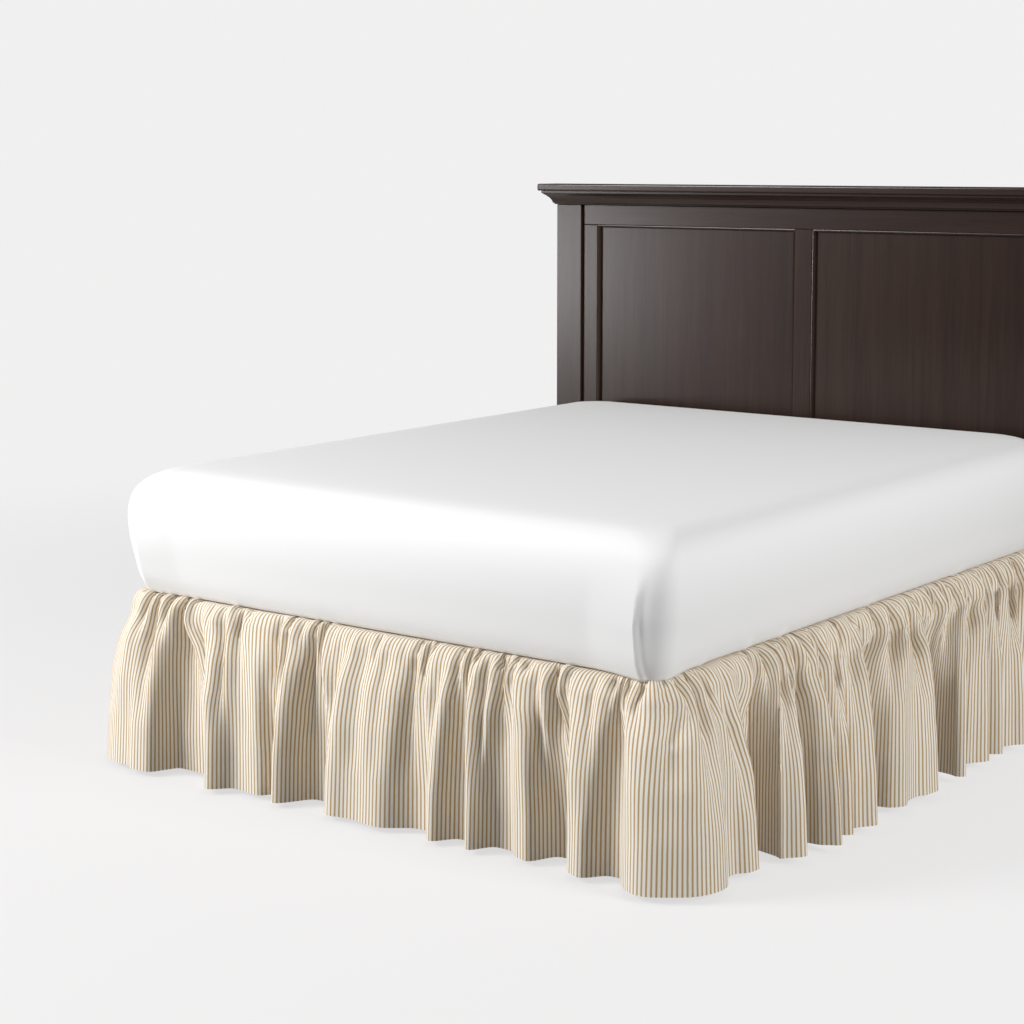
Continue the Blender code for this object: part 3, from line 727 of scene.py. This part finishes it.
def linear(code):
    """A colour written as sRGB hex, as the linear values that the nodes take."""
    values = [int(code[k : k + 2], 16) / 255 for k in (1, 3, 5)]
    return tuple(v / 12.92 if v <= 0.04045 else ((v + 0.055) / 1.055) ** 2.4 for v in values) + (1,)


def add_node(material, kind, inputs=None, **settings):
    """Adds a node with its settings. inputs maps a socket to a value or to a node's output."""
    tree = material.node_tree
    node = tree.nodes.new(kind)
    for name, value in settings.items():
        setattr(node, name, value)
    for name, value in (inputs or {}).items():
        if isinstance(value, bpy.types.NodeSocket):
            tree.links.new(value, node.inputs[name])
        else:
            node.inputs[name].default_value = value
    return node


def add_noise(material, place, scale, **inputs):
    return add_node(material, "ShaderNodeTexNoise", {"Vector": place, "Scale": scale, **inputs})


def add_range(material, value, low, high):
    """Takes values from 0 to 1 to values from low to high."""
    inputs = {"Value": value, "To Min": low, "To Max": high}
    return add_node(material, "ShaderNodeMapRange", inputs).outputs[0]


def add_mix(material, factor, first, second, blend="MIX"):
    """Mixes two colours."""
    inputs = {"Factor": factor, 6: first, 7: second}
    node = add_node(material, "ShaderNodeMix", inputs, data_type="RGBA", blend_type=blend)
    return node.outputs[2]


def add_bump(material, height, strength, distance, **inputs):
    inputs = {"Height": height, "Strength": strength, "Distance": distance, **inputs}
    return add_node(material, "ShaderNodeBump", inputs).outputs[0]


def start_material(name, roughness, **shader_inputs):
    """A material with only its shader, for the rest of its nodes to be linked to."""
    material = bpy.data.materials.new(name)
    material.use_nodes = True
    shader = material.node_tree.nodes["Principled BSDF"]
    shader.inputs["Roughness"].default_value = roughness
    for socket, value in shader_inputs.items():
        shader.inputs[socket.replace("_", " ")].default_value = value
    return material, shader


def finish_material(material, shader, colour, normal):
    """Links the shader's colour and normal."""
    material.node_tree.links.new(colour, shader.inputs["Base Color"])
    material.node_tree.links.new(normal, shader.inputs["Normal"])
    return material


# Cotton ticking: a firm twill, cream with woven ochre stripes, matt, with a faint fuzz of sheen
TICKING_CREAM = "#EEE9DE"
TICKING_OCHRE = "#AE8A50"
STRIPE_PITCH = 0.0104
STRIPE_WIDTH = 0.0041
STRIPE_SOFTNESS = 0.0007
STRIPE_WANDER = 0.0006
WANDERS_PER_METRE = 60.0
THREAD = 0.0011
THREAD_STRETCH = 0.45


def make_ticking():
    material, shader = start_material(
        "cotton_ticking", 0.88, Sheen_Weight=0.15, Specular_IOR_Level=0.25
    )
    cloth = add_node(material, "ShaderNodeUVMap", uv_map="cloth").outputs[0]
    wander = add_noise(material, cloth, WANDERS_PER_METRE)
    shift = add_node(
        material,
        "ShaderNodeVectorMath",
        {0: wander.outputs["Color"], 1: (STRIPE_WANDER, 0.0, 0.0)},
        operation="MULTIPLY",
    )
    place = add_node(
        material, "ShaderNodeVectorMath", {0: cloth, 1: shift.outputs[0]}, operation="ADD"
    )
    across = add_node(material, "ShaderNodeSeparateXYZ", {0: place.outputs[0]})
    turns = add_node(
        material,
        "ShaderNodeMath",
        {0: across.outputs["X"], 1: STRIPE_PITCH / 2},
        operation="PINGPONG",
    )
    stripe = add_node(
        material,
        "ShaderNodeMapRange",
        {
            "Value": turns.outputs[0],
            "From Min": (STRIPE_WIDTH + STRIPE_SOFTNESS) / 2,
            "From Max": (STRIPE_WIDTH - STRIPE_SOFTNESS) / 2,
        },
        interpolation_type="SMOOTHSTEP",
    )
    stretch = {"Vector": cloth, "Scale": (1.0, THREAD_STRETCH, 1.0)}
    threads = add_node(material, "ShaderNodeMapping", stretch).outputs[0]
    weave = add_noise(material, threads, 1 / THREAD, Detail=2.0).outputs[0]
    woven = add_node(
        material,
        "ShaderNodeMath",
        {0: stripe.outputs[0], 1: add_range(material, weave, 0.62, 1.12)},
        operation="MULTIPLY",
    )
    colour = add_mix(material, woven.outputs[0], linear(TICKING_CREAM), linear(TICKING_OCHRE))
    tone = add_mix(material, 1.0, colour, add_range(material, weave, 0.86, 1.08), "MULTIPLY")
    return finish_material(material, shader, tone, add_bump(material, weave, 0.35, 0.0004))


# Plain woven cotton: a matt cloth whose fine threads show only as a faint mottle.
# Columns: material, colour, width of a thread, depth of its broad wrinkles.
PERCALE_SHEET = ("cotton_percale_sheet", "#F2F2F2", 0.0009, 0.0006)
MUSLIN_DECK = ("muslin_deck", "#E4DED0", 0.0012, 0.0005)
SPRING_COVER = ("box_spring_cover", "#DDD8CC", 0.0014, 0.0008)
WRINKLES_PER_METRE = 9.0


def make_plain_cloth(name, colour, thread, wrinkle):
    material, shader = start_material(name, 0.85, Sheen_Weight=0.1, Specular_IOR_Level=0.2)
    place = add_node(material, "ShaderNodeTexCoord").outputs["Object"]
    weave = add_noise(material, place, 1 / thread, Detail=2.0).outputs[0]
    broad = add_noise(material, place, WRINKLES_PER_METRE).outputs[0]
    mottle = add_range(material, weave, 0.97, 1.02)
    tint = add_mix(material, 1.0, linear(colour), mottle, "MULTIPLY")
    soft = add_bump(material, broad, 0.25, wrinkle)
    fine = add_bump(material, weave, 0.25, 0.0002, Normal=soft)
    return finish_material(material, shader, tint, fine)


# Espresso-stained hardwood under satin lacquer: nearly black, with soft red-brown streaks of grain
GRAIN_WIDTH = 0.007
GRAIN_LENGTH = 0.160
WIDE_GRAIN = 7
WIDE_SHARE = 0.55
# Columns: place in the grain's noise, colour
GRAIN_COLOURS = ((0.36, "#251813"), (0.66, "#302019"))


def make_wood(name, upright):
    material, shader = start_material(name, 0.24, Specular_IOR_Level=0.30)
    place = add_node(material, "ShaderNodeTexCoord").outputs["Object"]
    across, along = 1 / GRAIN_WIDTH, 1 / GRAIN_LENGTH
    scale = (across, across, along) if upright else (along, across, across)
    wide_scale = tuple(s / WIDE_GRAIN for s in scale)
    fine_place = add_node(material, "ShaderNodeMapping", {"Vector": place, "Scale": scale})
    grain = add_noise(material, fine_place.outputs[0], 1.0, Detail=4.0, Distortion=0.6).outputs[0]
    wide_place = add_node(material, "ShaderNodeMapping", {"Vector": place, "Scale": wide_scale})
    wide = add_noise(material, wide_place.outputs[0], 1.0, Detail=3.0, Distortion=0.8).outputs[0]
    mixed = add_node(material, "ShaderNodeMix", {"Factor": WIDE_SHARE, 2: grain, 3: wide})
    ramp = add_node(material, "ShaderNodeValToRGB", {"Fac": mixed.outputs[0]})
    for stop, (spot, colour) in zip(ramp.color_ramp.elements, GRAIN_COLOURS):
        stop.position = spot
        stop.color = linear(colour)
    bump = add_bump(material, grain, 0.15, 0.0003)
    return finish_material(material, shader, ramp.outputs[0], bump)


# Powder-coated steel: dark, with the fine orange-peel of a sprayed and baked coat
STEEL_DARK = "#242527"
STEEL_LIGHT = "#303134"
PEEL_PER_METRE = 900.0


def make_painted_steel():
    material, shader = start_material("painted_steel", 0.5)
    place = add_node(material, "ShaderNodeTexCoord").outputs["Object"]
    peel = add_noise(material, place, PEEL_PER_METRE).outputs[0]
    colour = add_mix(material, peel, linear(STEEL_DARK), linear(STEEL_LIGHT))
    return finish_material(material, shader, colour, add_bump(material, peel, 0.2, 0.0002))


def dress(thing, material):
    """Gives a piece or a node of the frame one material."""
    thing.data.materials.clear()
    thing.data.materials.append(material)


def add_piece(name, mesh, material, slot_name, *replaced):
    """Adds a visible piece that rides on the bed and stands for the replaced nodes."""
    thing = bpy.data.objects.new(name, mesh)
    bpy.context.scene.collection.objects.link(thing)
    dress(thing, material)
    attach(thing, "root")
    if replaced:
        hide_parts(*replaced)
    return thing


def sharpen_border(mesh):
    """Keeps the hem and the cut ends crisp, so that the cloth's faces aren't shaded round them."""
    shape = bmesh.new()
    shape.from_mesh(mesh)
    for edge in shape.edges:
        edge.smooth = not edge.is_boundary
    shape.to_mesh(mesh)
    shape.free()


def add_ruffle(material):
    cloth = Cloth()
    cloth.settle()
    mesh = cloth.add_mesh("skirt_ruffle_cloth")
    mesh.shade_smooth()
    sharpen_border(mesh)
    ruffle = add_piece("ruffle_cloth", mesh, material, "ticking", "skirt_ruffle")
    thick = ruffle.modifiers.new("thickness", "SOLIDIFY")
    thick.thickness = CLOTH_THICKNESS
    thick.offset = -1.0
    return ruffle


def add_mattress(material):
    mesh = make_mattress()
    mesh.shade_smooth()
    mattress = add_piece("mattress_in_sheet", mesh, material, "sheet", "mattress")
    return mattress


# The bead round each panel, from the stiles' and rails' edges down to the panel. Columns: distance
# in from the edge, share of the way from the stiles' faces back to the panel's
BEAD_PROFILE = (
    (0.0000, 1.00),
    (0.0000, 0.10),
    (0.0020, 0.08),
    (0.0042, 0.14),
    (0.0060, 0.27),
    (0.0072, 0.46),
    (0.0078, 0.70),
    (0.0080, 1.00),
)
BEAD_GAP = 0.0003


def make_bead(panel, stile):
    """A mitred frame of bead round one panel."""
    low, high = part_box(panel)
    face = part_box(stile)[0][1]
    rings = []
    for inset, back in BEAD_PROFILE:
        left, right = low[0] + BEAD_GAP + inset, high[0] - BEAD_GAP - inset
        bottom, top = low[2] + BEAD_GAP + inset, high[2] - BEAD_GAP - inset
        y = face + (low[1] - face) * back
        rings.append([(left, y, bottom), (right, y, bottom), (right, y, top), (left, y, top)])
    count = len(rings)
    index = np.arange(count * 4).reshape(count, 4)
    index = np.column_stack([index, index[:, 0]])
    faces = quads(np.vstack([index, index[:1]]))
    mesh = bpy.data.meshes.new(panel + "_bead")
    mesh.from_pydata([point for ring in rings for point in ring], [], faces)
    return mesh


def add_beads(material):
    for side in ("left", "right"):
        bead = make_bead(side + "_panel", side + "_stile")
        add_piece(side + "_panel_bead", bead, material, "espresso_wood")


def dress_frame():
    """The nodes of the frame that keep their own shape."""
    upright = make_wood("espresso_wood_upright", True)
    level = make_wood("espresso_wood_level", False)
    steel = make_painted_steel()
    deck = make_plain_cloth(*MUSLIN_DECK)
    cover = make_plain_cloth(*SPRING_COVER)
    woods = {"post": upright, "stile": upright, "panel": upright}
    for name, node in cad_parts.items():
        kind = name.split("_")[-1]
        if name in ("skirt_ruffle", "mattress"):
            continue
        if name == "skirt_deck":
            dress(node, deck)
        elif name == "box_spring":
            dress(node, cover)
        elif name in ("top_rail", "bottom_rail", "crown_moulding", "crown_board"):
            dress(node, level)
        elif kind in woods:
            dress(node, woods[kind])
        else:
            dress(node, steel)
    add_beads(upright)


# The studio: a pale floor that fades into the backdrop, dim walls all round that the camera doesn't
# see, a soft key light from the front left, one from the right past the bed's middle, a weak fill
# from the front, and a low light that gives the headboard its glint
BACKDROP = "#F1F0F0"
FLOOR_COLOUR = "#EDECEC"
FLOOR_SIZE = 60.0
FLOOR_GLOW = 0.75
FADE_START = 2.2
FADE_END = 5.0
WALL_RADIUS = 9.0
WALL_STEPS = 32
WALL_COLOUR = "#7E7E7E"
# Columns: name, place, aim, size, power, whether gloss shows it
LIGHTS = (
    ("key", (-3.99, -4.95, 3.6), (0.0, -0.3, 0.4), 2.4, 438.0, True),
    ("side", (6.0, -0.4, 2.8), (0.3, 0.0, 0.4), 2.0, 230.0, True),
    ("fill", (-1.6, -6.6, 1.8), (0.0, -0.9, 0.3), 4.0, 35.0, False),
    ("low_glint", (-5.60, -5.00, 0.80), (-0.8, 1.0, 1.0), 1.1, 80.0, True),
)
# A dark flag that only the headboard's gloss sees: left and right ends, top, and place in front
FLAG_LEFT = -3.7
FLAG_RIGHT = 2.5
FLAG_TOP = 2.3
FLAG_Y = -5.6
FLAG_COLOUR = "#0A0A0A"


def add_prop(name, mesh, material):
    """Adds a thing of the studio, which is no part of the bed."""
    prop = bpy.data.objects.new(name, mesh)
    bpy.context.scene.collection.objects.link(prop)
    dress(prop, material)
    return prop


def make_rectangle(name, corners):
    mesh = bpy.data.meshes.new(name)
    mesh.from_pydata(corners, [], [(0, 1, 2, 3)])
    return mesh


def add_floor():
    half = FLOOR_SIZE
    corners = [(-half, -half, 0), (half, -half, 0), (half, half, 0), (-half, half, 0)]
    floor = add_prop("floor", make_rectangle("floor", corners), make_floor())
    floor.visible_diffuse = False


def add_walls():
    """A dim ball round the whole studio, which lights the bed a little from every side."""
    mesh = bpy.data.meshes.new("walls")
    ball = bmesh.new()
    steps = WALL_STEPS
    bmesh.ops.create_uvsphere(ball, u_segments=steps, v_segments=steps // 2, radius=WALL_RADIUS)
    ball.to_mesh(mesh)
    ball.free()
    material = start_material(
        "dim_walls",
        1.0,
        Base_Color=linear("#000000"),
        Specular_IOR_Level=0.0,
        Emission_Color=linear(WALL_COLOUR),
        Emission_Strength=1.0,
    )[0]
    walls = add_prop("walls", mesh, material)
    walls.visible_camera = False


def add_flag():
    """A black felt flag in front of the bed, so that the headboard's gloss stays dark."""
    corners = [
        (FLAG_LEFT, FLAG_Y, FLAG_TOP),
        (FLAG_RIGHT, FLAG_Y, FLAG_TOP),
        (FLAG_RIGHT, FLAG_Y, 0),
        (FLAG_LEFT, FLAG_Y, 0),
    ]
    material = start_material(
        "black_felt", 1.0, Base_Color=linear(FLAG_COLOUR), Specular_IOR_Level=0.0
    )[0]
    flag = add_prop("flag", make_rectangle("flag", corners), material)
    flag.visible_camera = False
    flag.visible_diffuse = False
    flag.visible_shadow = False


def add_studio():
    scene = bpy.context.scene
    scene.view_settings.view_transform = "Standard"
    world = bpy.data.worlds.new("studio")
    scene.world = world
    world.use_nodes = True
    background = world.node_tree.nodes["Background"]
    background.inputs["Color"].default_value = linear(BACKDROP)
    background.inputs["Strength"].default_value = 1.0
    add_floor()
    add_walls()
    add_flag()
    for name, place, aim, size, power, in_gloss in LIGHTS:
        light = bpy.data.lights.new(name, "AREA")
        light.shape = "SQUARE"
        light.size = size
        light.energy = power
        lamp = bpy.data.objects.new(name, light)
        lamp.location = place
        lamp.rotation_euler = (Vector(aim) - lamp.location).to_track_quat("-Z", "Y").to_euler()
        lamp.visible_camera = False
        lamp.visible_glossy = in_gloss
        scene.collection.objects.link(lamp)


def make_floor():
    """Matt pale paint that turns into the backdrop's plain tone away from the bed."""
    material, shader = start_material(
        "pale_floor", 0.9, Base_Color=linear(FLOOR_COLOUR), Specular_IOR_Level=0.0
    )
    place = add_node(material, "ShaderNodeTexCoord").outputs["Object"]
    level = {0: place, 1: (1.0, 1.0, 0.0)}
    flat = add_node(material, "ShaderNodeVectorMath", level, operation="MULTIPLY")
    far = add_node(
        material, "ShaderNodeVectorMath", {0: flat.outputs[0]}, operation="LENGTH"
    ).outputs["Value"]
    share = add_node(
        material,
        "ShaderNodeMapRange",
        {"Value": far, "From Min": FADE_START, "From Max": FADE_END, "To Min": FLOOR_GLOW},
        interpolation_type="SMOOTHSTEP",
    ).outputs[0]
    glow = add_node(material, "ShaderNodeEmission", {"Color": linear(BACKDROP), "Strength": 1.0})
    shades = {0: share, 1: shader.outputs[0], 2: glow.outputs[0]}
    mixed = add_node(material, "ShaderNodeMixShader", shades)
    output = material.node_tree.nodes["Material Output"]
    material.node_tree.links.new(mixed.outputs[0], output.inputs["Surface"])
    return material


def add_camera():
    camera = bpy.data.cameras.new("camera")
    camera.lens = CAMERA_LENS
    camera.shift_y = CAMERA_SHIFT_Y
    viewer = bpy.data.objects.new("camera", camera)
    viewer.location = CAMERA_PLACE
    viewer.rotation_euler = (math.radians(90 - CAMERA_PITCH), 0.0, math.radians(CAMERA_YAW))
    bpy.context.scene.collection.objects.link(viewer)
    bpy.context.scene.camera = viewer


add_camera()
add_studio()
dress_frame()
add_mattress(make_plain_cloth(*PERCALE_SHEET))
add_ruffle(make_ticking())
